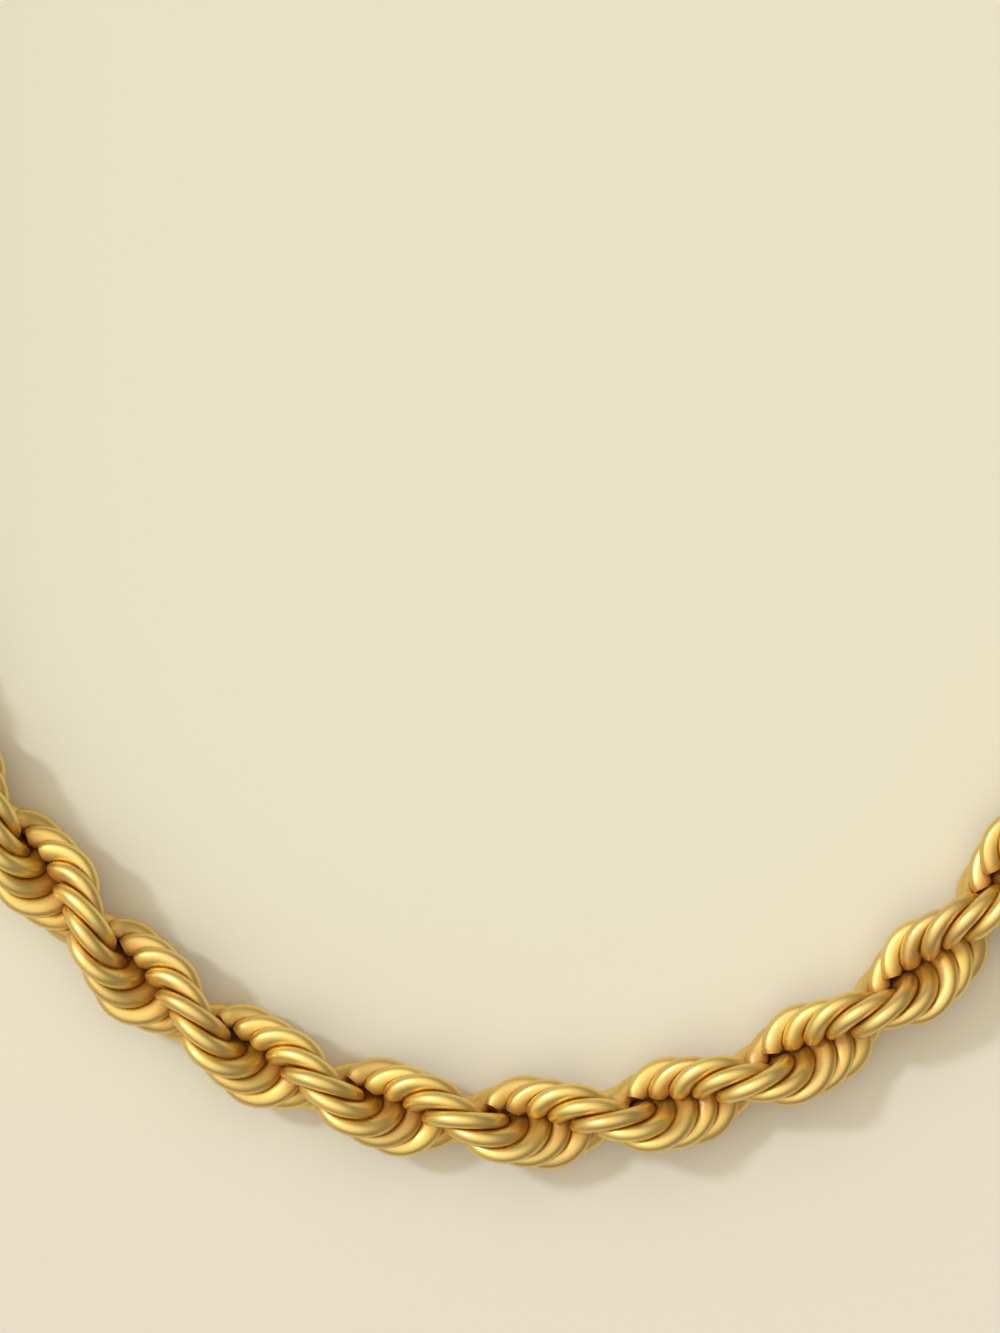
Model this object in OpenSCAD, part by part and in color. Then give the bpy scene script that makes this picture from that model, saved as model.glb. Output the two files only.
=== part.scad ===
// Rope chain necklace, laid flat in a closed loop.
// Every link is a round wire ring with one slot in it. Each ring passes through the
// next three, and every second ring is turned half way round, so the outer sides of
// the rings wind round each other as the two strands of a rope.
// The two ends of the chain sit in the sockets of one plain barrel clasp.
// Units are millimetres, +Z is up and the chain rests on Z = 0.

/* [Loop] */
// Length round the closed loop, along the middle of the chain and through the clasp
necklace_length = 457; // [400:1:620]
// Radius of the lower curve of the loop, at the middle of the chain
lower_radius = 52.7; // [45:0.1:62]
// How far the lower curve runs up to each side of its lowest point, in degrees
lower_half_angle = 49.5; // [42:0.5:58]
// Length of the straight flank above each end of the lower curve
flank_length = 13.4; // [5:0.1:25]

/* [Links] */
// Thickness of the round wire
wire_diameter = 1.37; // [1:0.01:1.8]
// Room left in a link's hole beside the three wires that pass through it
hole_play = 1.5; // [0.9:0.05:2]
// Step from one link to the next beyond one wire thickness
pitch_play = 0.51; // [0.4:0.01:1.2]
// Width of the slot in a link beyond one wire thickness
slot_play = 1.2; // [1:0.05:1.6]
// How far a link's middle lies beside the middle line of the chain
link_offset = 0.15; // [0.05:0.01:0.6]
// Lean of a link along the strand, in degrees
link_lean = 3.2; // [1:0.1:9]
// Length of chain in which the strands make one full turn
twist_length = 25.7; // [22:0.1:34]
// Turn of the first link about the middle line, in degrees
first_turn = 132; // [0:1:360]

/* [Clasp] */
// Length of the barrel clasp
clasp_length = 22; // [18:0.5:30]
// Wall of the barrel round the chain
clasp_wall = 0.9; // [0.6:0.1:1.6]
// Depth of the socket in each end of the barrel
socket_depth = 7.5; // [5:0.5:9]
// Clear gap between the chain and the walls of its socket
seat_gap = 0.25; // [0.15:0.05:0.5]
// Width of the raised rim round each mouth of the barrel
rim_width = 1.6; // [1:0.1:2.5]
// Height of the raised rims above the barrel
rim_height = 0.35; // [0.2:0.05:0.6]
// Depth of the seam round the middle of the barrel
seam_depth = 0.3; // [0.1:0.05:0.5]

/* [Hidden] */
// Sides of a link's round wire and of the rings and barrel
wire_sides = 24;
ring_sides = 72;
barrel_sides = 96;
// Straight lead of the chain outside each mouth of the barrel
mouth_lead = 2;
// Length along which the chain comes down from the barrel to the surface
ramp_length = 24;
// Short step used to find the direction of the middle line
probe = 0.5;

// A link: radius of the middle of its wire, hole for three wires and its play
link_hole = 3 * wire_diameter + hole_play;
link_radius = (link_hole + wire_diameter) / 2;
slot_width = wire_diameter + slot_play;
slot_angle = 2 * asin(slot_width / (2 * link_radius));

// The chain: its half width, and the barrel that takes it
chain_radius = link_radius + wire_diameter / 2 + link_offset;
socket_radius = chain_radius + seat_gap;
barrel_radius = socket_radius + clasp_wall;
rim_radius = barrel_radius + rim_height;
clasp_half = clasp_length / 2;
socket_floor = clasp_half - socket_depth;

// Half of the loop, from the middle of the clasp: straight top, corner, straight side,
// shoulder, straight flank and half of the lower curve. Corner and shoulder share a radius.
top_half = clasp_half + mouth_lead;
flank_x = lower_radius * sin(lower_half_angle) + flank_length * cos(lower_half_angle);
bend_radius = (flank_x - top_half) / sin(lower_half_angle);
shoulder_angle = 90 - lower_half_angle;
corner_arc = PI * bend_radius / 2;
shoulder_arc = PI * bend_radius * shoulder_angle / 180;
lower_arc = PI * lower_radius * lower_half_angle / 180;
bends = corner_arc + shoulder_arc + lower_arc;
side_length = necklace_length / 2 - top_half - flank_length - bends;
side_x = top_half + bend_radius;

// How far the shoulders' middles stand above the middle of the lower curve
rise = (bend_radius - lower_radius) * cos(lower_half_angle) + flank_length * sin(lower_half_angle);
loop_height = lower_radius + rise + side_length + bend_radius;
// Half the difference of what stands out past the loop at its two ends
top_y = loop_height / 2 - (rim_radius - chain_radius) / 2;
corner_y = top_y - bend_radius;
shoulder_y = corner_y - side_length;
lower_y = shoulder_y - rise;

// Distance along the middle line at which each part of the left half starts
side_start = top_half + corner_arc;
shoulder_start = side_start + side_length;
flank_start = shoulder_start + shoulder_arc;
lower_start = flank_start + flank_length;

// The links: the first and last stand clear of the socket floors
end_reach = link_radius + wire_diameter / 2 + seat_gap;
chain_start = socket_floor + end_reach;
chain_end = necklace_length - chain_start;
link_count = floor((chain_end - chain_start) / (wire_diameter + pitch_play)) + 1;
link_pitch = (chain_end - chain_start) / (link_count - 1);
half_count = floor(link_count / 2);

gold = [0.83, 0.62, 0.25];

// Smooth step from 0 to 1
function ease(t) = let (c = min(max(t, 0), 1)) c * c * (3 - 2 * c);

// Height of the middle line: on the surface, and raised where it meets the barrel
function line_z(s) =
    let (near = min(s, necklace_length - s))
    chain_radius + (rim_radius - chain_radius) * (1 - ease((near - top_half) / ramp_length));

// Point on the left half of the middle line at distance s from the middle of the clasp
function left_xy(s) =
    s < top_half ? [-s, top_y] :
    s < side_start ? arc_point([-top_half, corner_y], bend_radius, 90, s - top_half) :
    s < shoulder_start ? [-side_x, corner_y - (s - side_start)] :
    s < flank_start ? arc_point([-top_half, shoulder_y], bend_radius, 180, s - shoulder_start) :
    s < lower_start ? flank_point(s - flank_start) :
    arc_point([0, lower_y], lower_radius, 180 + shoulder_angle, s - lower_start);

// Point on the whole middle line: the right half mirrors the left half
function line_xy(s) =
    s < necklace_length / 2 ? left_xy(s) :
    let (other = left_xy(necklace_length - s))
    [-other.x, other.y];

// Point a distance run down the left flank
function flank_point(run) =
    [-flank_x, shoulder_y - bend_radius * cos(lower_half_angle)]
    + run * [cos(lower_half_angle), -sin(lower_half_angle)];

// Point a distance run round an arc from its starting angle
function arc_point(centre, radius, angle, run) =
    let (a = angle + run / radius * 180 / PI)
    centre + radius * [cos(a), sin(a)];

function line_point(s) = [line_xy(s).x, line_xy(s).y, line_z(s)];

// Direction of the middle line by a short step each way
function line_step(s) = line_point(s + probe) - line_point(s - probe);

// Turn of link k: every second one half way round, all of them along the twist
function link_turn(k) = first_turn + 180 * k + 360 * k * link_pitch / twist_length;

module link() {
    rotate([0, 0, 180 + slot_angle / 2])
        rotate_extrude(angle = 360 - slot_angle, $fn = ring_sides)
            translate([link_radius, 0])
                circle(d = wire_diameter, $fn = wire_sides);
}

// Link k in its place on the middle line, its slot facing back along the chain
module placed_link(k) {
    s = chain_start + k * link_pitch;
    way = line_step(s);
    translate(line_point(s))
        rotate([0, -atan2(way.z, norm([way.x, way.y])), atan2(way.y, way.x)])
            rotate([link_turn(k), 0, 0])
                translate([0, -link_offset, 0])
                    rotate([0, -link_lean, 0])
                        link();
}

module chain_left() {
    color(gold)
        for (k = [0 : half_count - 1])
            placed_link(k);
}

module chain_right() {
    color(gold)
        for (k = [half_count : link_count - 1])
            placed_link(k);
}

// A socket in one end of the barrel, along X
module socket() {
    translate([socket_floor, 0, 0])
        rotate([0, 90, 0])
            cylinder(r = socket_radius, h = socket_depth + 1, $fn = barrel_sides);
}

// A raised rim at one mouth, rounded outside
module rim() {
    translate([clasp_half - rim_width / 2, 0, 0])
        rotate([0, 90, 0])
            rotate_extrude($fn = barrel_sides)
                translate([rim_radius - rim_width / 2, 0])
                    circle(d = rim_width, $fn = wire_sides);
}

module barrel_clasp() {
    color(gold)
        translate([0, top_y, rim_radius])
            difference() {
                union() {
                    translate([rim_width / 2 - clasp_half, 0, 0])
                        rotate([0, 90, 0])
                            cylinder(r = barrel_radius, h = clasp_length - rim_width, $fn = barrel_sides);
                    rim();
                    mirror([1, 0, 0]) rim();
                }
                socket();
                mirror([1, 0, 0]) socket();
                rotate([0, 90, 0])
                    rotate_extrude($fn = barrel_sides)
                        translate([barrel_radius, 0])
                            circle(r = seam_depth, $fn = wire_sides);
            }
}

chain_left();
chain_right();
barrel_clasp();
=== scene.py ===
"""Looks of a thick gold rope chain necklace that lies on a plain pale surface.

The rope is a string of slotted round wire links. Every link passes through the next three and
every second link is turned half way round, so their outer sides wind as two strands. The two
ends of the chain sit in one plain barrel clasp. Sizes are in millimetres unless a comment says
otherwise, and the solid's own repeat those of the part's source.
"""

from __future__ import annotations

import logging
import math
from dataclasses import dataclass, field
from enum import Enum
from typing import ClassVar

import bmesh
import bpy
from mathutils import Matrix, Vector

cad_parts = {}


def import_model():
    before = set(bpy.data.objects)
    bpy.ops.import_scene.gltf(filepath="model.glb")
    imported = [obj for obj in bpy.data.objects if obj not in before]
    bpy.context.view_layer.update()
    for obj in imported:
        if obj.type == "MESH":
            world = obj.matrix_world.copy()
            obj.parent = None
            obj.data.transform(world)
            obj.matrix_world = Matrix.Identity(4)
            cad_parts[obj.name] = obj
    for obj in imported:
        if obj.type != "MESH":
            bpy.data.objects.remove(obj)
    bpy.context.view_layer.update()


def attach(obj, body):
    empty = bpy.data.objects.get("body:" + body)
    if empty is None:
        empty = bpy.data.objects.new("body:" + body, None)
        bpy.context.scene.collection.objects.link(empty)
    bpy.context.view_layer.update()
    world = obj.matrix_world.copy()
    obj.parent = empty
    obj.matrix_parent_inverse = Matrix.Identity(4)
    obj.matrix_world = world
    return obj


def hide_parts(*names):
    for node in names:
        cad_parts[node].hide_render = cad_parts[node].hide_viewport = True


LOG = logging.getLogger("rope_chain_necklace")
MM = 0.001
# Span that the values of a noise texture mostly keep to
NOISE_SPAN = (0.3, 0.7)


class Half(Enum):
    """The two nodes that the string of links is divided into."""

    LEFT = "chain_left"
    RIGHT = "chain_right"


def linear(code: str) -> tuple[float, float, float, float]:
    """Turns an sRGB hex colour into a linear one.

    Args:
        code: The colour as #rrggbb.

    Returns:
        Red, green, blue and a full alpha, from 0 to 1.
    """
    parts = (int(code[i : i + 2], 16) / 255 for i in (1, 3, 5))
    red, green, blue = (c / 12.92 if c <= 0.04045 else ((c + 0.055) / 1.055) ** 2.4 for c in parts)
    return red, green, blue, 1.0


def noise_scale(width: float) -> float:
    """Gives the scale of a noise whose patches are so many millimetres wide."""
    return 1 / (width * MM)


def add_node(
    tree: bpy.types.NodeTree,
    kind: str,
    inputs: dict[int | str, object] | None = None,
    **settings: object,
) -> bpy.types.Node:
    """Adds one node to a tree, with its settings, values and links.

    Args:
        tree: The tree that the node goes into.
        kind: The node's type in Blender.
        inputs: A value, a node or an output socket for each input, by its name or number.
        **settings: The node's own options.

    Returns:
        The new node.
    """
    node = tree.nodes.new(kind)
    for name, value in settings.items():
        setattr(node, name, value)
    for key, value in (inputs or {}).items():
        if isinstance(value, bpy.types.Node):
            value = value.outputs[0]
        if isinstance(value, bpy.types.NodeSocket):
            tree.links.new(value, node.inputs[key])
        else:
            node.inputs[key].default_value = value
    return node


def empty_material(name: str) -> bpy.types.Material:
    """Makes a material whose node tree is still empty.

    Args:
        name: Name of the material.

    Returns:
        The new material.
    """
    made = bpy.data.materials.new(name)
    made.use_nodes = True
    made.node_tree.nodes.clear()
    return made


@dataclass(frozen=True)
class LinkSize:
    """One link: a ring of round wire with a slot in it.

    The wire is drawn a little thicker than the solid one and its ring a little smaller, and it
    swells on the ring's inner side. Neighbouring wires then look as if they touch and no light
    comes up through the rope, while its outer size stays.
    """

    wire_diameter: float = 1.5
    # What the swell adds to the inner half of the wire, as a share of its depth
    inner_swell: float = 0.7
    solid_wire: float = 1.37
    hole_play: float = 1.5
    # Width of the slot beyond the thicker wire
    slot_play: float = 1.05

    @property
    def solid_radius(self) -> float:
        """Radius of the middle of the solid link's wire."""
        return (4 * self.solid_wire + self.hole_play) / 2

    @property
    def radius(self) -> float:
        """Radius of the middle of the wire as it is drawn here."""
        return self.solid_radius - (self.wire_diameter - self.solid_wire) / 2

    @property
    def slot_angle(self) -> float:
        """Angle of the ring that its slot takes, in radians."""
        return 2 * math.asin((self.wire_diameter + self.slot_play) / (2 * self.radius))


@dataclass(frozen=True)
class RopeLay:
    """How the links stand in the rope."""

    link: LinkSize = field(default_factory=LinkSize)
    pitch_play: float = 0.51
    link_offset: float = 0.15
    link_lean: float = 3.2
    twist_length: float = 25.7
    first_turn: float = 132.0

    @property
    def rope_radius(self) -> float:
        """Half of the rope's width."""
        return self.link.solid_radius + self.link.solid_wire / 2 + self.link_offset


@dataclass(frozen=True)
class ClaspSize:
    """The plain barrel that takes both ends of the rope."""

    rope_radius: float
    length: float = 22.0
    wall: float = 0.9
    socket_depth: float = 7.5
    seat_gap: float = 0.25
    rim_width: float = 1.6
    rim_height: float = 0.35
    seam_depth: float = 0.3

    @property
    def half(self) -> float:
        """Half of the barrel's length."""
        return self.length / 2

    @property
    def socket_radius(self) -> float:
        """Radius of the socket in each end."""
        return self.rope_radius + self.seat_gap

    @property
    def barrel_radius(self) -> float:
        """Radius of the barrel between its rims."""
        return self.socket_radius + self.wall

    @property
    def rim_radius(self) -> float:
        """Radius of the raised rim at each mouth."""
        return self.barrel_radius + self.rim_height

    @property
    def socket_floor(self) -> float:
        """Distance of each socket's floor from the barrel's middle."""
        return self.half - self.socket_depth


@dataclass(frozen=True)
class MiddleLine:
    """The middle line of the whole loop, with distances counted from the middle of the clasp.

    Half of it runs left along a straight top, round a corner, down a straight side, round a
    shoulder, down a straight flank and round half of the lower curve. The rest mirrors it.
    """

    lay: RopeLay
    clasp: ClaspSize
    length: float = 457.0
    lower_radius: float = 52.7
    lower_half_angle: float = 49.5
    flank_length: float = 13.4
    mouth_lead: float = 2.0
    ramp_length: float = 24.0
    step: float = 0.5

    @property
    def top_half(self) -> float:
        """Half of the straight top."""
        return self.clasp.half + self.mouth_lead

    @property
    def bend_radius(self) -> float:
        """Works out the radius of the corners and shoulders.

        Returns:
            The radius, in millimetres.
        """
        angle = math.radians(self.lower_half_angle)
        flank_x = self.lower_radius * math.sin(angle) + self.flank_length * math.cos(angle)
        return (flank_x - self.top_half) / math.sin(angle)

    @property
    def side_length(self) -> float:
        """Works out the length of each straight side from what the bends leave.

        Returns:
            The length, in millimetres.
        """
        angle = math.radians(self.lower_half_angle)
        bends = self.bend_radius * (math.pi - angle) + self.lower_radius * angle
        return self.length / 2 - self.top_half - self.flank_length - bends

    @property
    def top_y(self) -> float:
        """Works out where the straight top lies.

        Returns:
            Its Y, in millimetres, with the necklace's box centred on the origin.
        """
        angle = math.radians(self.lower_half_angle)
        wider = self.bend_radius - self.lower_radius
        rise = wider * math.cos(angle) + self.flank_length * math.sin(angle)
        loop_height = self.lower_radius + rise + self.side_length + self.bend_radius
        return loop_height / 2 - (self.clasp.rim_radius - self.lay.rope_radius) / 2

    @property
    def parts(self) -> tuple[tuple[float, float], ...]:
        """Lists the parts of the left half, from the clasp down.

        Returns:
            For each part its length and its radius, which is 0 if it is straight.
        """
        angle = math.radians(self.lower_half_angle)
        bend = self.bend_radius
        return (
            (self.top_half, 0.0),
            (bend * math.pi / 2, bend),
            (self.side_length, 0.0),
            (bend * (math.pi / 2 - angle), bend),
            (self.flank_length, 0.0),
            (self.lower_radius * angle, self.lower_radius),
        )

    @property
    def chain_start(self) -> float:
        """Works out where the first link has its middle.

        Returns:
            The distance along the line, in millimetres.
        """
        link = self.lay.link
        reach = link.solid_radius + link.solid_wire / 2 + self.clasp.seat_gap
        return self.clasp.socket_floor + reach

    @property
    def link_count(self) -> int:
        """Number of links in the whole rope."""
        run = self.length - 2 * self.chain_start
        return int(run / (self.lay.link.solid_wire + self.lay.pitch_play)) + 1

    @property
    def link_pitch(self) -> float:
        """Distance from one link to the next."""
        return (self.length - 2 * self.chain_start) / (self.link_count - 1)

    def height(self, distance: float) -> float:
        """Gives the height of the line above the surface.

        Args:
            distance: Distance along the line, in millimetres.

        Returns:
            The height: half a rope's width, raised where the rope meets the barrel.
        """
        near = min(distance, self.length - distance)
        share = min(max((near - self.top_half) / self.ramp_length, 0.0), 1.0)
        down = share * share * (3 - 2 * share)
        rope = self.lay.rope_radius
        return rope + (self.clasp.rim_radius - rope) * (1 - down)

    def point(self, distance: float) -> Vector:
        """Gives a point of the line.

        Args:
            distance: Distance along the line, in millimetres.

        Returns:
            The point, in metres.
        """
        left = min(distance, self.length - distance)
        x, y, heading = 0.0, self.top_y, math.pi
        for length, radius in self.parts:
            run = min(left, length)
            left -= run
            if radius:
                turned = heading + run / radius
                x += radius * (math.sin(turned) - math.sin(heading))
                y += radius * (math.cos(heading) - math.cos(turned))
                heading = turned
            else:
                x += run * math.cos(heading)
                y += run * math.sin(heading)
        side = 1 if distance < self.length / 2 else -1
        return Vector((side * x, y, self.height(distance))) * MM

    def wire_object(self) -> bpy.types.Object:
        """Makes the middle line as a mesh of edges, for the tree that strings the links on it.

        Returns:
            The object, linked to the scene.
        """
        count = round(self.length / self.step)
        points = [self.point(self.length * i / count) for i in range(count + 1)]
        mesh = bpy.data.meshes.new("middle_line")
        mesh.from_pydata(points, [(i, i + 1) for i in range(count)], [])
        line = bpy.data.objects.new("middle_line", mesh)
        bpy.context.scene.collection.objects.link(line)
        return line


@dataclass(frozen=True)
class PlatedWire:
    """Gold plate on drawn brass wire, tumbled bright, under a thin clear lacquer.

    The real wire is pulled through dies, which leaves faint lines along it, then plated and
    tumbled, which rounds every edge. The eye gets a warm yellow metal with soft, broken
    highlights, and the lacquer lays a paler glint over them. The polish hardly reaches the
    middle of the rope, which stays rougher, and its gold is painted deeper and browner there
    and in the crevices between wires, as shade.
    """

    wire_diameter: float
    name: str = "gold_plated_drawn_wire"
    # Gold on the rope's outer sides, then the same gold in painted shade: a little deeper toward
    # the middle, browner in the hollow middle and in the crevices between wires
    bright: str = "#ECCB74"
    deep: str = "#E9C468"
    hollow_shade: str = "#D4A246"
    crevice_shade: str = "#BC8A36"
    # Roughness along the smoothest and the roughest lines, and what the unpolished middle adds
    roughness: tuple[float, float] = (0.35, 0.48)
    unpolished: float = 0.22
    lacquer: float = 0.6
    lacquer_roughness: float = 0.3
    # How far from the rope's middle, in half rope widths, the polish (with the fading of the
    # painted hollow shade) and the brightest, unshaded gold start and are full
    polish_and_shade_reach: tuple[float, float] = (0.15, 0.60)
    unshaded_reach: tuple[float, float] = (0.45, 0.95)
    # Gap between two wires from which on the crevice has no more painted shade
    crevice_width: float = 0.34
    # Lightness and hue at the two ends of the links' tint
    lightness: tuple[float, float] = (0.93, 1.05)
    hue: tuple[float, float] = (0.494, 0.505)
    line_gap: float = 0.208
    line_length: float = 4.63
    dent_width: float = 1.11
    # Share of the dents in the relief, the rest being the lines
    dent_share: float = 0.35
    relief_depth: float = 0.06
    relief_strength: float = 0.22

    def material(self) -> bpy.types.Material:
        """Builds the material from the links' own attributes.

        Returns:
            The finished material.
        """
        made = empty_material(self.name)
        tree = made.node_tree
        core = add_node(tree, "ShaderNodeAttribute", attribute_name="from_core").outputs["Fac"]
        # How far the polish reached, which also fades out the painted shade of the rope's middle:
        # none in the middle, all of it on its outer sides
        reach = add_node(
            tree,
            "ShaderNodeMapRange",
            {0: core, 1: self.polish_and_shade_reach[0], 2: self.polish_and_shade_reach[1]},
            interpolation_type="SMOOTHSTEP",
        )
        lines = self._lines(tree)
        # Soft dents of about a millimetre from the tumbling
        place = add_node(tree, "ShaderNodeTexCoord").outputs["Object"]
        dents = add_node(
            tree,
            "ShaderNodeTexNoise",
            {"Vector": place, "Scale": noise_scale(self.dent_width), "Detail": 1.0},
        )
        relief = add_node(
            tree, "ShaderNodeMix", {0: self.dent_share, 2: lines.outputs[0], 3: dents.outputs[0]}
        )
        bump = add_node(
            tree,
            "ShaderNodeBump",
            {
                "Strength": self.relief_strength,
                "Distance": self.relief_depth * MM,
                "Height": relief.outputs[0],
            },
        )
        (low, high), (smooth, rough) = NOISE_SPAN, self.roughness
        worn = add_node(
            tree, "ShaderNodeMapRange", {0: lines.outputs[0], 1: low, 2: high, 3: smooth, 4: rough}
        )
        dulled = add_node(tree, "ShaderNodeMapRange", {0: reach, 3: self.unpolished, 4: 0.0})
        roughness = add_node(tree, "ShaderNodeMath", {0: worn, 1: dulled}, operation="ADD")
        shader = add_node(
            tree,
            "ShaderNodeBsdfPrincipled",
            {
                "Base Color": self._colour(tree, core, reach),
                "Metallic": 1.0,
                "Roughness": roughness,
                "Normal": bump,
                "Coat Weight": self.lacquer,
                "Coat Roughness": self.lacquer_roughness,
            },
        )
        add_node(tree, "ShaderNodeOutputMaterial", {0: shader})
        return made

    def _colour(
        self, tree: bpy.types.NodeTree, core: bpy.types.NodeSocket, reach: bpy.types.Node
    ) -> bpy.types.Node:
        """Mixes the gold: bright outside, with painted shade deeper toward the middle and brown in
        crevices.

        Args:
            tree: The material's tree.
            core: Distance from the rope's middle, in half rope widths.
            reach: The node that gives how far the polish reached and the painted shade faded.

        Returns:
            The node that gives the colour.
        """
        # Painted shade: the gold turns a little deeper toward the rope's middle
        outer = add_node(
            tree, "ShaderNodeMapRange", {0: core, 1: self.unshaded_reach[0], 2: self.unshaded_reach[1]}
        )
        outside = add_node(
            tree,
            "ShaderNodeMix",
            {0: outer, 6: linear(self.deep), 7: linear(self.bright)},
            data_type="RGBA",
        )
        # Painted shade: the rope's hollow middle turns brown
        with_hollow_shade = add_node(
            tree,
            "ShaderNodeMix",
            {0: reach, 6: linear(self.hollow_shade), 7: outside.outputs[2]},
            data_type="RGBA",
        )
        # Painted shade in the narrow crevices between two wires, which polish and light hardly
        # reach
        gap = add_node(tree, "ShaderNodeAttribute", attribute_name="wire_gap")
        unshaded = add_node(
            tree,
            "ShaderNodeMapRange",
            {0: gap.outputs["Fac"], 2: self.crevice_width * MM},
            interpolation_type="SMOOTHSTEP",
        )
        with_crevice_shade = add_node(
            tree,
            "ShaderNodeMix",
            {0: unshaded, 6: linear(self.crevice_shade), 7: with_hollow_shade.outputs[2]},
            data_type="RGBA",
        )
        # Each link took the plating a little differently
        tint = add_node(tree, "ShaderNodeAttribute", attribute_name="link_tint")
        lightness, hue = (
            add_node(tree, "ShaderNodeMapRange", {0: tint.outputs["Fac"], 3: least, 4: most})
            for least, most in (self.lightness, self.hue)
        )
        return add_node(
            tree,
            "ShaderNodeHueSaturation",
            {"Hue": hue, "Value": lightness, "Color": with_crevice_shade.outputs[2]},
        )

    def _lines(self, tree: bpy.types.NodeTree) -> bpy.types.Node:
        """Draws the faint lines that the dies left along the wire.

        They are hundredths of a millimetre apart, too fine to show: drawn 0.2 mm apart.

        Args:
            tree: The material's tree.

        Returns:
            The node that gives their noise.
        """
        radius = self.wire_diameter / 2 * MM
        run = add_node(tree, "ShaderNodeAttribute", attribute_name="wire_run")
        outward = add_node(tree, "ShaderNodeAttribute", attribute_name="wire_round")
        along = add_node(
            tree,
            "ShaderNodeMath",
            {0: run.outputs["Fac"], 1: self.line_gap / self.line_length},
            operation="MULTIPLY",
        )
        drawn = add_node(
            tree,
            "ShaderNodeVectorMath",
            {
                0: outward.outputs["Vector"],
                1: (radius, radius, radius),
                2: add_node(tree, "ShaderNodeCombineXYZ", {2: along}),
            },
            operation="MULTIPLY_ADD",
        )
        return add_node(
            tree,
            "ShaderNodeTexNoise",
            {"Vector": drawn, "Scale": noise_scale(self.line_gap), "Detail": 3.0},
        )


@dataclass(frozen=True)
class TurnedPlate:
    """Gold plate on a turned brass barrel, under a thin clear lacquer.

    The tool leaves fine rings round the barrel, and the polish leaves them just visible, so the
    highlight along it is broken into fine bright threads.
    """

    name: str = "gold_plated_turned_brass"
    bright: str = "#E6C66E"
    deep: str = "#DEB55C"
    # Roughness where the polish is at its best and at its worst
    roughness: tuple[float, float] = (0.24, 0.34)
    lacquer: float = 0.6
    lacquer_roughness: float = 0.3
    ring_gap: float = 0.25
    # How many times longer than wide the pattern of the rings is
    ring_stretch: float = 50.0
    cloud_width: float = 3.85
    relief_depth: float = 0.05
    relief_strength: float = 0.15

    def material(self) -> bpy.types.Material:
        """Builds the material, with its rings across the barrel's X axis.

        Returns:
            The finished material.
        """
        made = empty_material(self.name)
        tree = made.node_tree
        place = add_node(tree, "ShaderNodeTexCoord").outputs["Object"]
        # Tool rings are about 0.05 mm apart: drawn 0.25 mm apart so that they show
        slow = 1 / self.ring_stretch
        across = add_node(
            tree, "ShaderNodeVectorMath", {0: place, 1: (1.0, slow, slow)}, operation="MULTIPLY"
        )
        rings = add_node(
            tree,
            "ShaderNodeTexNoise",
            {"Vector": across, "Scale": noise_scale(self.ring_gap), "Detail": 2.0},
        )
        # The plating and the polish vary over about 4 mm
        cloud = add_node(
            tree,
            "ShaderNodeTexNoise",
            {"Vector": place, "Scale": noise_scale(self.cloud_width), "Detail": 3.0},
        )
        colour = add_node(
            tree,
            "ShaderNodeMix",
            {0: cloud.outputs[0], 6: linear(self.deep), 7: linear(self.bright)},
            data_type="RGBA",
        )
        (low, high), (smooth, rough) = NOISE_SPAN, self.roughness
        polish = add_node(
            tree, "ShaderNodeMapRange", {0: cloud.outputs[0], 1: low, 2: high, 3: smooth, 4: rough}
        )
        bump = add_node(
            tree,
            "ShaderNodeBump",
            {
                "Strength": self.relief_strength,
                "Distance": self.relief_depth * MM,
                "Height": rings.outputs[0],
            },
        )
        shader = add_node(
            tree,
            "ShaderNodeBsdfPrincipled",
            {
                "Base Color": colour.outputs[2],
                "Metallic": 1.0,
                "Roughness": polish,
                "Normal": bump,
                "Coat Weight": self.lacquer,
                "Coat Roughness": self.lacquer_roughness,
            },
        )
        add_node(tree, "ShaderNodeOutputMaterial", {0: shader})
        return made


@dataclass(frozen=True)
class MatteCard:
    """Uncoated card that the necklace lies on.

    Its pressed fibres scatter the light evenly, so the eye gets a plain, pale cream that takes
    soft shadows and shows no highlight.
    """

    name: str = "matt_cream_card"
    light: str = "#E9E2C6"
    warm: str = "#E8DEC8"
    roughness: float = 0.95
    specular: float = 0.1
    # Y at which the card starts to turn warmer, and at which it is all warm
    warm_from: float = -50.0
    warm_full: float = -100.0

    def material(self) -> bpy.types.Material:
        """Builds the material, a cream that turns a little rosier toward the viewer.

        Returns:
            The finished material.
        """
        made = empty_material(self.name)
        tree = made.node_tree
        place = add_node(tree, "ShaderNodeTexCoord").outputs["Object"]
        along = add_node(tree, "ShaderNodeSeparateXYZ", {0: place}).outputs[1]
        drift = add_node(
            tree,
            "ShaderNodeMapRange",
            {0: along, 1: self.warm_from * MM, 2: self.warm_full * MM},
            interpolation_type="SMOOTHSTEP",
        )
        colour = add_node(
            tree,
            "ShaderNodeMix",
            {0: drift.outputs[0], 6: linear(self.light), 7: linear(self.warm)},
            data_type="RGBA",
        )
        shader = add_node(
            tree,
            "ShaderNodeBsdfPrincipled",
            {
                "Base Color": colour.outputs[2],
                "Roughness": self.roughness,
                "Specular IOR Level": self.specular,
            },
        )
        add_node(tree, "ShaderNodeOutputMaterial", {0: shader})
        return made


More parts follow.
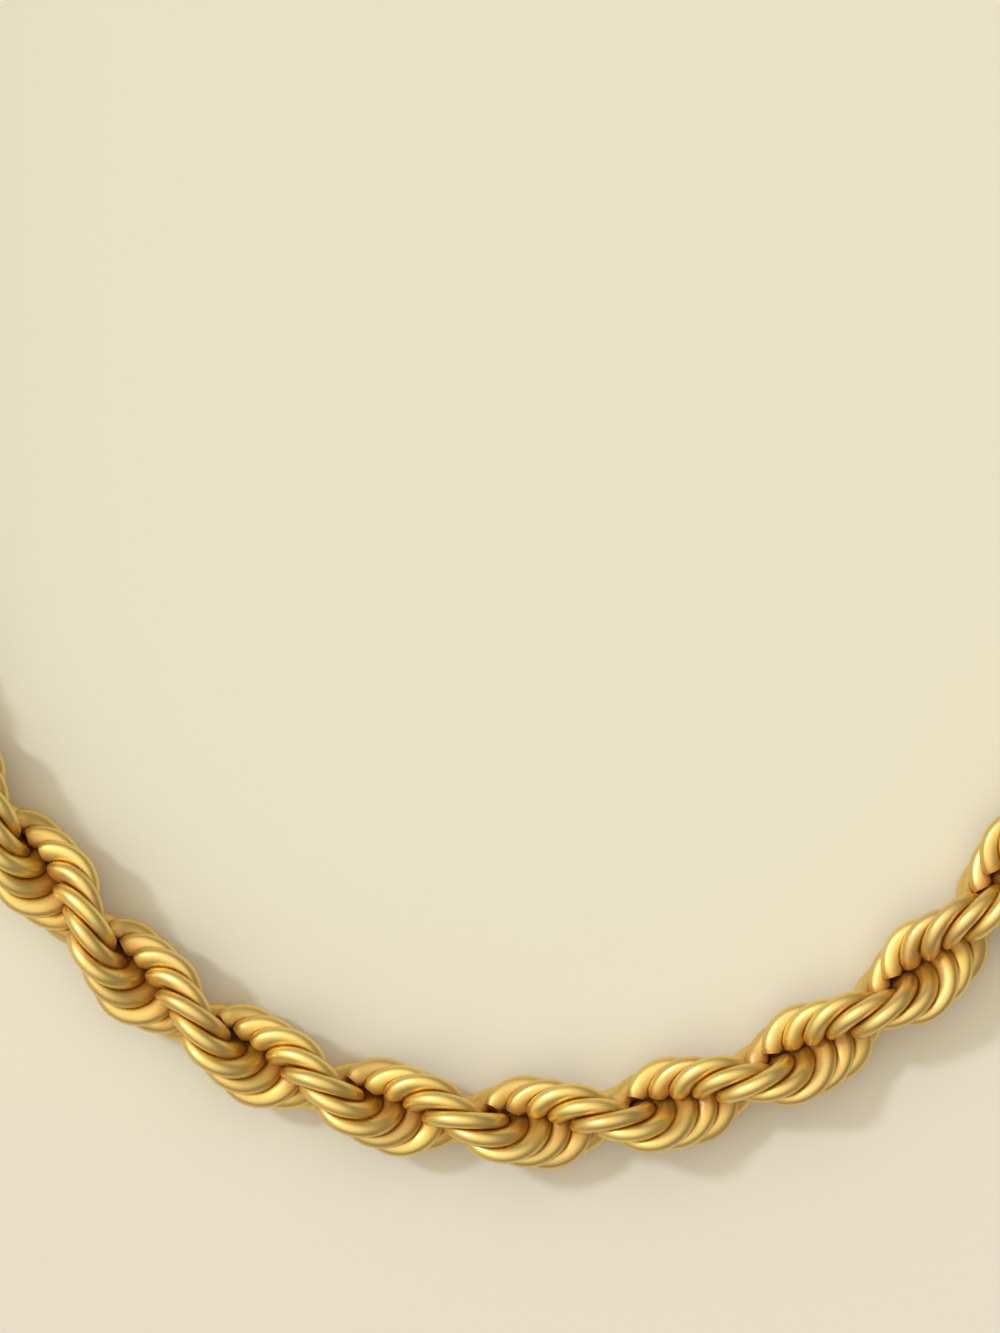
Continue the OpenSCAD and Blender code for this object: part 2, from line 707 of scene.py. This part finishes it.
@dataclass
class LinkTree:
    """Geometry Nodes tree that strings slotted wire links along a middle line."""

    tree: bpy.types.NodeTree = field(
        default_factory=lambda: bpy.data.node_groups.new("rope_links", "GeometryNodeTree")
    )
    sockets: dict[str, str] = field(default_factory=dict)

    # At each end the wire narrows to this share of its width, over this share of its length
    END_WIDTH: ClassVar[float] = 0.74
    END_SHARE: ClassVar[float] = 0.02
    # A link meets none of those this many places on, or more
    CLEAR_AFTER: ClassVar[int] = 4
    INPUTS: ClassVar[tuple[tuple[str, str], ...]] = (
        ("Link count", "NodeSocketInt"),
        ("First kept", "NodeSocketInt"),
        ("Last kept", "NodeSocketInt"),
        ("Chain start", "NodeSocketFloat"),
        ("Link pitch", "NodeSocketFloat"),
        ("Twist length", "NodeSocketFloat"),
        ("First turn", "NodeSocketFloat"),
        ("Link radius", "NodeSocketFloat"),
        ("Wire radius", "NodeSocketFloat"),
        ("Slot angle", "NodeSocketFloat"),
        ("Inner swell", "NodeSocketFloat"),
        ("Link offset", "NodeSocketFloat"),
        ("Link lean", "NodeSocketFloat"),
        ("Rope radius", "NodeSocketFloat"),
        ("Rings on wire", "NodeSocketInt"),
        ("Sides of wire", "NodeSocketInt"),
        ("Seed", "NodeSocketInt"),
        ("Finish", "NodeSocketMaterial"),
    )

    def build(self) -> None:
        """Builds the whole tree, which ends in realized links with their finish on."""
        face = self.tree.interface
        face.new_socket("Geometry", in_out="INPUT", socket_type="NodeSocketGeometry")
        for name, kind in self.INPUTS:
            made = face.new_socket(name, in_out="INPUT", socket_type=kind)
            self.sockets[name] = made.identifier
        face.new_socket("Geometry", in_out="OUTPUT", socket_type="NodeSocketGeometry")
        given = self.tree.nodes.new("NodeGroupInput").outputs
        link = self._link(given)
        strung = self._string(given, link)
        realized = add_node(self.tree, "GeometryNodeRealizeInstances", {0: strung})
        number = add_node(
            self.tree,
            "GeometryNodeInputNamedAttribute",
            {"Name": "link_number"},
            data_type="FLOAT",
        )
        kept = self._kept(given, number, self._crevices(number, realized))
        # Distance of every point from the middle line, in half rope widths
        nearest = add_node(
            self.tree, "GeometryNodeProximity", {0: given["Geometry"]}, target_element="EDGES"
        )
        share = add_node(
            self.tree,
            "ShaderNodeMath",
            {0: nearest.outputs["Distance"], 1: given["Rope radius"]},
            operation="DIVIDE",
        )
        measured = add_node(
            self.tree,
            "GeometryNodeStoreNamedAttribute",
            {0: kept, "Name": "from_core", "Value": share},
            data_type="FLOAT",
            domain="POINT",
        )
        dressed = add_node(
            self.tree, "GeometryNodeSetMaterial", {0: measured, "Material": given["Finish"]}
        )
        out = self.tree.nodes.new("NodeGroupOutput")
        self.tree.links.new(dressed.outputs[0], out.inputs[0])

    def _link(self, given: bpy.types.NodeOutputs) -> bpy.types.Node:
        """Makes one link in its own plane, its slot facing along -X.

        Args:
            given: The tree's inputs.

        Returns:
            The node that gives the link's mesh.
        """
        half_slot = add_node(
            self.tree, "ShaderNodeMath", {0: given["Slot angle"], 1: 0.5}, operation="MULTIPLY"
        )
        start = add_node(
            self.tree, "ShaderNodeMath", {0: half_slot, 1: math.pi}, operation="ADD"
        )
        sweep = add_node(
            self.tree,
            "ShaderNodeMath",
            {0: 2 * math.pi, 1: given["Slot angle"]},
            operation="SUBTRACT",
        )
        arc = add_node(
            self.tree,
            "GeometryNodeCurveArc",
            {
                "Resolution": given["Rings on wire"],
                "Radius": given["Link radius"],
                "Start Angle": start,
                "Sweep Angle": sweep,
            },
            mode="RADIUS",
        )
        way = add_node(self.tree, "GeometryNodeSplineParameter")
        run = add_node(
            self.tree,
            "GeometryNodeStoreNamedAttribute",
            {0: arc, "Name": "wire_run", "Value": way.outputs["Length"]},
            data_type="FLOAT",
            domain="POINT",
        )
        # The cut ends are broken round, as tumbling leaves them
        share = way.outputs["Factor"]
        rest = add_node(self.tree, "ShaderNodeMath", {0: 1.0, 1: share}, operation="SUBTRACT")
        from_end = add_node(self.tree, "ShaderNodeMath", {0: share, 1: rest}, operation="MINIMUM")
        thinned = add_node(
            self.tree, "ShaderNodeMapRange", {0: from_end, 2: self.END_SHARE, 3: self.END_WIDTH}
        )
        circle = add_node(
            self.tree,
            "GeometryNodeCurvePrimitiveCircle",
            {"Resolution": given["Sides of wire"], "Radius": given["Wire radius"]},
            mode="RADIUS",
        )
        position = add_node(self.tree, "GeometryNodeInputPosition")
        outward = add_node(
            self.tree, "ShaderNodeVectorMath", {0: position}, operation="NORMALIZE"
        )
        section = add_node(
            self.tree,
            "GeometryNodeStoreNamedAttribute",
            {0: circle, "Name": "wire_round", "Value": outward},
            data_type="FLOAT_VECTOR",
            domain="POINT",
        )
        wire = add_node(
            self.tree,
            "GeometryNodeCurveToMesh",
            {"Curve": run, "Profile Curve": section, "Scale": thinned, "Fill Caps": True},
        )
        swollen = self._swell(given, wire)
        # The four-sided faces along the wire are smooth and the cut ends flat
        corners = add_node(self.tree, "GeometryNodeInputMeshFaceNeighbors")
        side = add_node(
            self.tree,
            "FunctionNodeCompare",
            {"A": corners.outputs["Vertex Count"], "B": 5},
            data_type="INT",
            operation="LESS_THAN",
        )
        return add_node(
            self.tree,
            "GeometryNodeSetShadeSmooth",
            {0: swollen, "Shade Smooth": side},
        )

    def _swell(self, given: bpy.types.NodeOutputs, wire: bpy.types.Node) -> bpy.types.Node:
        """Deepens the wire on the inner side of its ring.

        Args:
            given: The tree's inputs.
            wire: The node that gives the round wire.

        Returns:
            The node that gives the deepened wire.
        """
        position = add_node(self.tree, "GeometryNodeInputPosition")
        flat = add_node(
            self.tree,
            "ShaderNodeVectorMath",
            {0: position, 1: (1.0, 1.0, 0.0)},
            operation="MULTIPLY",
        )
        length = add_node(self.tree, "ShaderNodeVectorMath", {0: flat}, operation="LENGTH")
        reach = length.outputs["Value"]
        inward = add_node(
            self.tree, "ShaderNodeMath", {0: given["Link radius"], 1: reach}, operation="SUBTRACT"
        )
        depth = add_node(self.tree, "ShaderNodeMath", {0: inward, 1: 0.0}, operation="MAXIMUM")
        added = add_node(
            self.tree, "ShaderNodeMath", {0: depth, 1: given["Inner swell"]}, operation="MULTIPLY"
        )
        taken = add_node(self.tree, "ShaderNodeMath", {0: added, 1: reach}, operation="DIVIDE")
        share = add_node(self.tree, "ShaderNodeMath", {0: 1.0, 1: taken}, operation="SUBTRACT")
        scale = add_node(self.tree, "ShaderNodeCombineXYZ", {0: share, 1: share, 2: 1.0})
        moved = add_node(
            self.tree, "ShaderNodeVectorMath", {0: position, 1: scale}, operation="MULTIPLY"
        )
        return add_node(self.tree, "GeometryNodeSetPosition", {0: wire, "Position": moved})

    def _string(self, given: bpy.types.NodeOutputs, link: bpy.types.Node) -> bpy.types.Node:
        """Puts a link at each step along the middle line, turned and leaned as the rope needs.

        Args:
            given: The tree's inputs.
            link: The node that gives the link's mesh.

        Returns:
            The node that gives the links as instances, each with its own tint.
        """
        number = add_node(self.tree, "GeometryNodeInputIndex")
        run = add_node(
            self.tree, "ShaderNodeMath", {0: number, 1: given["Link pitch"]}, operation="MULTIPLY"
        )
        distance = add_node(
            self.tree, "ShaderNodeMath", {0: run, 1: given["Chain start"]}, operation="ADD"
        )
        curve = add_node(self.tree, "GeometryNodeMeshToCurve", {0: given["Geometry"]})
        line = add_node(
            self.tree,
            "GeometryNodeSampleCurve",
            {"Curves": curve, "Length": distance},
            mode="LENGTH",
        )
        turned = self._turned(given, number, run, line.outputs["Tangent"])
        lean = add_node(
            self.tree,
            "FunctionNodeAxisAngleToRotation",
            {"Axis": (0.0, -1.0, 0.0), "Angle": given["Link lean"]},
        )
        leaned = add_node(
            self.tree,
            "FunctionNodeRotateRotation",
            {0: turned, 1: lean},
            rotation_space="LOCAL",
        )
        offset = add_node(
            self.tree, "ShaderNodeMath", {0: given["Link offset"], 1: -1.0}, operation="MULTIPLY"
        )
        beside = add_node(self.tree, "ShaderNodeCombineXYZ", {1: offset})
        shift = add_node(self.tree, "FunctionNodeRotateVector", {0: beside, 1: turned})
        place = add_node(
            self.tree,
            "ShaderNodeVectorMath",
            {0: line.outputs["Position"], 1: shift},
            operation="ADD",
        )
        points = add_node(
            self.tree, "GeometryNodePoints", {"Count": given["Link count"], "Position": place}
        )
        strung = add_node(
            self.tree,
            "GeometryNodeInstanceOnPoints",
            {"Points": points, "Instance": link, "Rotation": leaned},
        )
        tint = add_node(
            self.tree,
            "FunctionNodeRandomValue",
            {2: 0.0, 3: 1.0, "ID": number, "Seed": given["Seed"]},
            data_type="FLOAT",
        )
        tinted = add_node(
            self.tree,
            "GeometryNodeStoreNamedAttribute",
            {0: strung, "Name": "link_tint", "Value": tint.outputs[1]},
            data_type="FLOAT",
            domain="INSTANCE",
        )
        return add_node(
            self.tree,
            "GeometryNodeStoreNamedAttribute",
            {0: tinted, "Name": "link_number", "Value": number},
            data_type="FLOAT",
            domain="INSTANCE",
        )

    def _turned(
        self,
        given: bpy.types.NodeOutputs,
        number: bpy.types.Node,
        run: bpy.types.Node,
        way: bpy.types.NodeSocket,
    ) -> bpy.types.Node:
        """Faces a link along the middle line and turns it round that line as the rope winds.

        Args:
            given: The tree's inputs.
            number: The node that gives the link's number.
            run: The node that gives its distance from the first link.
            way: Direction of the middle line there.

        Returns:
            The node that gives the link's rotation.
        """
        left = add_node(
            self.tree,
            "ShaderNodeVectorMath",
            {0: (0.0, 0.0, 1.0), 1: way},
            operation="CROSS_PRODUCT",
        )
        facing = add_node(
            self.tree,
            "FunctionNodeAxesToRotation",
            {0: way, 1: left},
            primary_axis="X",
            secondary_axis="Y",
        )
        # Every second link half way round, and all of them along the twist
        twist = add_node(
            self.tree, "ShaderNodeMath", {0: run, 1: given["Twist length"]}, operation="DIVIDE"
        )
        turns = add_node(
            self.tree, "ShaderNodeMath", {0: number, 1: 0.5, 2: twist}, operation="MULTIPLY_ADD"
        )
        angle = add_node(
            self.tree,
            "ShaderNodeMath",
            {0: turns, 1: 2 * math.pi, 2: given["First turn"]},
            operation="MULTIPLY_ADD",
        )
        turn = add_node(
            self.tree,
            "FunctionNodeAxisAngleToRotation",
            {"Axis": (1.0, 0.0, 0.0), "Angle": angle},
        )
        return add_node(
            self.tree,
            "FunctionNodeRotateRotation",
            {0: facing, 1: turn},
            rotation_space="LOCAL",
        )

    def _crevices(self, number: bpy.types.Node, links: bpy.types.Node) -> bpy.types.Node:
        """Stores how far every point is from the nearest other link.

        A link meets none beyond the third one on, so the links are taken in four turns, each
        measured against the other three.

        Args:
            number: The node that gives each point's link number, counted from the clasp.
            links: The node that gives all the links as one mesh.

        Returns:
            The node that gives them with their distances.
        """
        turn = add_node(
            self.tree, "ShaderNodeMath", {0: number, 1: self.CLEAR_AFTER}, operation="MODULO"
        )
        joined = self.tree.nodes.new("GeometryNodeJoinGeometry")
        for this in range(self.CLEAR_AFTER):
            chosen = add_node(
                self.tree,
                "FunctionNodeCompare",
                {"A": turn, "B": float(this), "Epsilon": 0.1},
                data_type="FLOAT",
                operation="EQUAL",
            )
            split = add_node(
                self.tree, "GeometryNodeSeparateGeometry", {0: links, "Selection": chosen}
            )
            others = add_node(
                self.tree, "GeometryNodeProximity", {0: split.outputs[1]}, target_element="FACES"
            )
            stored = add_node(
                self.tree,
                "GeometryNodeStoreNamedAttribute",
                {0: split.outputs[0], "Name": "wire_gap", "Value": others.outputs["Distance"]},
                data_type="FLOAT",
                domain="POINT",
            )
            self.tree.links.new(stored.outputs[0], joined.inputs[0])
        return joined

    def _kept(
        self, given: bpy.types.NodeOutputs, number: bpy.types.Node, links: bpy.types.Node
    ) -> bpy.types.Node:
        """Keeps the links of one half only.

        Args:
            given: The tree's inputs.
            number: The node that gives each point's link number, counted from the clasp.
            links: The node that gives all the links as one mesh.

        Returns:
            The node that gives the half's own links.
        """
        # Half a link of room either way, because the numbers are stored as floats
        first = add_node(
            self.tree, "ShaderNodeMath", {0: given["First kept"], 1: 0.5}, operation="SUBTRACT"
        )
        last = add_node(
            self.tree, "ShaderNodeMath", {0: given["Last kept"], 1: 0.5}, operation="ADD"
        )
        before = add_node(
            self.tree, "ShaderNodeMath", {0: number, 1: first}, operation="LESS_THAN"
        )
        after = add_node(
            self.tree, "ShaderNodeMath", {0: number, 1: last}, operation="GREATER_THAN"
        )
        outside = add_node(self.tree, "ShaderNodeMath", {0: before, 1: after}, operation="ADD")
        return add_node(
            self.tree,
            "GeometryNodeDeleteGeometry",
            {0: links, "Selection": outside},
            domain="POINT",
        )


@dataclass
class RopeChain:
    """The rope: its two halves, each one string of links."""

    line: MiddleLine
    finish: bpy.types.Material
    rings_on_wire: int = 33
    sides_of_wire: int = 14
    seed: int = 7

    def build(self) -> list[bpy.types.Object]:
        """Builds both halves as plain meshes in their place.

        Returns:
            The two pieces, left and right.
        """
        tree = LinkTree()
        tree.build()
        count = self.line.link_count
        middle = count // 2
        spans = {Half.LEFT: (0, middle - 1), Half.RIGHT: (middle, count - 1)}
        return [self._half(tree, half, *span) for half, span in spans.items()]

    def _half(self, tree: LinkTree, half: Half, first: int, last: int) -> bpy.types.Object:
        """Builds one half.

        Args:
            tree: The tree that strings the links.
            half: Which half it is.
            first: Number of its first link.
            last: Number of its last link.

        Returns:
            The piece, riding on the root body in the place of its CAD node.
        """
        line, lay = self.line, self.line.lay
        values = {
            "Link count": line.link_count,
            "First kept": first,
            "Last kept": last,
            "Chain start": line.chain_start * MM,
            "Link pitch": line.link_pitch * MM,
            "Twist length": lay.twist_length * MM,
            "First turn": math.radians(lay.first_turn),
            "Link radius": lay.link.radius * MM,
            "Wire radius": lay.link.wire_diameter / 2 * MM,
            "Slot angle": lay.link.slot_angle,
            "Inner swell": lay.link.inner_swell,
            "Link offset": lay.link_offset * MM,
            "Link lean": math.radians(lay.link_lean),
            "Rope radius": lay.rope_radius * MM,
            "Rings on wire": self.rings_on_wire,
            "Sides of wire": self.sides_of_wire,
            "Seed": self.seed,
            "Finish": self.finish,
        }
        wire = line.wire_object()
        modifier = wire.modifiers.new("rope_links", "NODES")
        modifier.node_group = tree.tree
        for name, value in values.items():
            modifier[tree.sockets[name]] = value
        depsgraph = bpy.context.evaluated_depsgraph_get()
        mesh = bpy.data.meshes.new_from_object(
            wire.evaluated_get(depsgraph), preserve_all_data_layers=True, depsgraph=depsgraph
        )
        wire.modifiers.remove(modifier)
        bpy.data.objects.remove(wire)
        mesh.name = f"{half.value}_links"
        mesh.materials.clear()
        mesh.materials.append(self.finish)
        piece = bpy.data.objects.new(f"{half.value}_links", mesh)
        bpy.context.scene.collection.objects.link(piece)
        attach(piece, "root")
        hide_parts(half.value)
        return piece


@dataclass
class BarrelClasp:
    """The plain barrel: two sockets, a rounded rim at each mouth and a seam round the middle."""

    size: ClaspSize
    line: MiddleLine
    finish: bpy.types.Material
    sides: int = 128
    arc_steps: int = 14
    # Angle between two faces, in degrees, from which their edge shows sharp
    sharp_from: float = 35.0

    def build(self) -> bpy.types.Object:
        """Builds the barrel as one closed shell round its own axis.

        Returns:
            The piece, riding on the root body in the place of its CAD node.
        """
        mesh = bpy.data.meshes.new("barrel_clasp_body")
        shell = bmesh.new()
        rows = []
        for x, radius in self._outline():
            # The middle of a socket's floor is one point
            count = self.sides if radius else 1
            angles = (2 * math.pi * i / self.sides for i in range(count))
            rows.append([shell.verts.new(self._place(x, radius, a)) for a in angles])
        for one, two in zip(rows, rows[1:]):
            for i in range(self.sides):
                around = ((one, i), (one, i + 1), (two, i + 1), (two, i))
                # Beside that point two corners are the same and count once
                corners = dict.fromkeys(row[k % len(row)] for row, k in around)
                shell.faces.new(list(corners))
        bmesh.ops.recalc_face_normals(shell, faces=shell.faces[:])
        for edge in shell.edges:
            edge.smooth = edge.calc_face_angle(0.0) < math.radians(self.sharp_from)
        for face in shell.faces:
            face.smooth = True
        shell.to_mesh(mesh)
        shell.free()
        mesh.materials.append(self.finish)
        piece = bpy.data.objects.new("barrel_clasp_body", mesh)
        bpy.context.scene.collection.objects.link(piece)
        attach(piece, "root")
        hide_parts("barrel_clasp")
        return piece

    def _place(self, x: float, radius: float, angle: float) -> Vector:
        """Puts a point of the barrel in its place on the loop.

        Args:
            x: Distance along the axis from the barrel's middle, in millimetres.
            radius: Distance from the axis, in millimetres.
            angle: Angle round the axis, in radians.

        Returns:
            The point, in metres.
        """
        y = self.line.top_y + radius * math.cos(angle)
        z = self.size.rim_radius + radius * math.sin(angle)
        return Vector((x, y, z)) * MM

    def _outline(self) -> list[tuple[float, float]]:
        """Works out the barrel's outline from the left socket's floor to the right one's.

        Returns:
            Points of distance along the axis and radius, in millimetres.
        """
        size = self.size
        bead = size.rim_width / 2
        rim_x, rim_r = size.half - bead, size.rim_radius - bead
        low = math.asin((size.socket_radius - rim_r) / bead)
        high = math.pi - math.asin((size.barrel_radius - rim_r) / bead)
        right = [(size.socket_floor, 0.0), (size.socket_floor, size.socket_radius)]
        for i in range(self.arc_steps + 1):
            angle = low + (high - low) * i / self.arc_steps
            right.append((rim_x + bead * math.cos(angle), rim_r + bead * math.sin(angle)))
        for i in range(self.arc_steps // 2 + 1):
            angle = math.pi / 2 * i / (self.arc_steps // 2)
            x = size.seam_depth * math.cos(angle)
            right.append((x, size.barrel_radius - size.seam_depth * math.sin(angle)))
        left = [(-x, radius) for x, radius in right[:-1]]
        return left + right[::-1]


@dataclass
class Studio:
    """The pale floor, the soft light and the camera above the lower curve."""

    floor_finish: bpy.types.Material
    floor_half: float = 1500.0
    # Key light: its strength, its width in degrees, its colour and the way it travels
    key_energy: float = 1.1
    key_width: float = 7.0
    key_colour: str = "#D4E6FF"
    key_travel: tuple[float, float, float] = (0.87, -0.5, -1.0)
    # Glow: its colour, the way to its middle, the cosines of the angles from there at which it
    # is least and most, and its strength at each
    glow_colour: str = "#FFFAF2"
    glow_toward: tuple[float, float, float] = (-0.34, 0.16, 0.92)
    glow_reach: tuple[float, float] = (0.3, 1.0)
    glow_strength: tuple[float, float] = (0.27, 1.39)
    # The photograph's frame in the plane of the rope's middle line: its height and its centre
    frame_height: float = 119.33
    frame_centre: tuple[float, float, float] = (-2.39, -37.72, 4.33)
    lens: float = 85.0
    sensor: float = 36.0
    nearest_seen: float = 10.0

    def build(self) -> None:
        """Makes the floor, the lights and the camera."""
        self._floor()
        self._light()
        self._camera()

    def _floor(self) -> None:
        """Lays a plain square floor under the necklace."""
        mesh = bpy.data.meshes.new("floor")
        half = self.floor_half * MM
        corners = [(-half, -half, 0.0), (half, -half, 0.0), (half, half, 0.0), (-half, half, 0.0)]
        mesh.from_pydata(corners, [], [(0, 1, 2, 3)])
        mesh.materials.append(self.floor_finish)
        floor = bpy.data.objects.new("floor", mesh)
        bpy.context.scene.collection.objects.link(floor)

    def _light(self) -> None:
        """Sets a small, soft key light at the photograph's upper left and a wide glow above."""
        key = bpy.data.lights.new("key", "SUN")
        key.energy = self.key_energy
        key.angle = math.radians(self.key_width)
        key.color = linear(self.key_colour)[:3]
        lamp = bpy.data.objects.new("key", key)
        lamp.rotation_euler = Vector(self.key_travel).to_track_quat("-Z", "Y").to_euler()
        bpy.context.scene.collection.objects.link(lamp)

        world = bpy.data.worlds.new("studio")
        world.use_nodes = True
        tree = world.node_tree
        tree.nodes.clear()
        way = add_node(tree, "ShaderNodeTexCoord").outputs["Generated"]
        toward = tuple(Vector(self.glow_toward).normalized())
        facing = add_node(
            tree, "ShaderNodeVectorMath", {0: way, 1: toward}, operation="DOT_PRODUCT"
        )
        (near, full), (least, most) = self.glow_reach, self.glow_strength
        glow = add_node(
            tree,
            "ShaderNodeMapRange",
            {0: facing.outputs["Value"], 1: near, 2: full, 3: least, 4: most},
            interpolation_type="SMOOTHSTEP",
        )
        sky = add_node(
            tree, "ShaderNodeBackground", {"Color": linear(self.glow_colour), "Strength": glow}
        )
        add_node(tree, "ShaderNodeOutputWorld", {0: sky})
        bpy.context.scene.world = world

    def _camera(self) -> None:
        """Hangs the camera straight above the centre of the photograph's frame."""
        lens = bpy.data.cameras.new("camera")
        lens.lens = self.lens
        lens.sensor_fit = "VERTICAL"
        lens.sensor_height = self.sensor
        lens.clip_start = self.nearest_seen * MM
        lens.dof.use_dof = False
        camera = bpy.data.objects.new("camera", lens)
        above = Vector((0.0, 0.0, self.frame_height * self.lens / self.sensor))
        camera.location = (Vector(self.frame_centre) + above) * MM
        bpy.context.scene.collection.objects.link(camera)
        bpy.context.scene.camera = camera


def main() -> None:
    """Builds the necklace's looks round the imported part, then the studio."""
    logging.basicConfig(level=logging.INFO, format="%(message)s")
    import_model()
    lay = RopeLay()
    clasp = ClaspSize(rope_radius=lay.rope_radius)
    line = MiddleLine(lay=lay, clasp=clasp)
    wire = PlatedWire(wire_diameter=lay.link.wire_diameter)
    pieces = RopeChain(line=line, finish=wire.material()).build()
    pieces.append(BarrelClasp(size=clasp, line=line, finish=TurnedPlate().material()).build())
    for piece in pieces:
        LOG.info("%s: %d faces", piece.name, len(piece.data.polygons))
    Studio(floor_finish=MatteCard().material()).build()
    bpy.context.scene.view_settings.view_transform = "Standard"


if __name__ == "__main__":
    main()
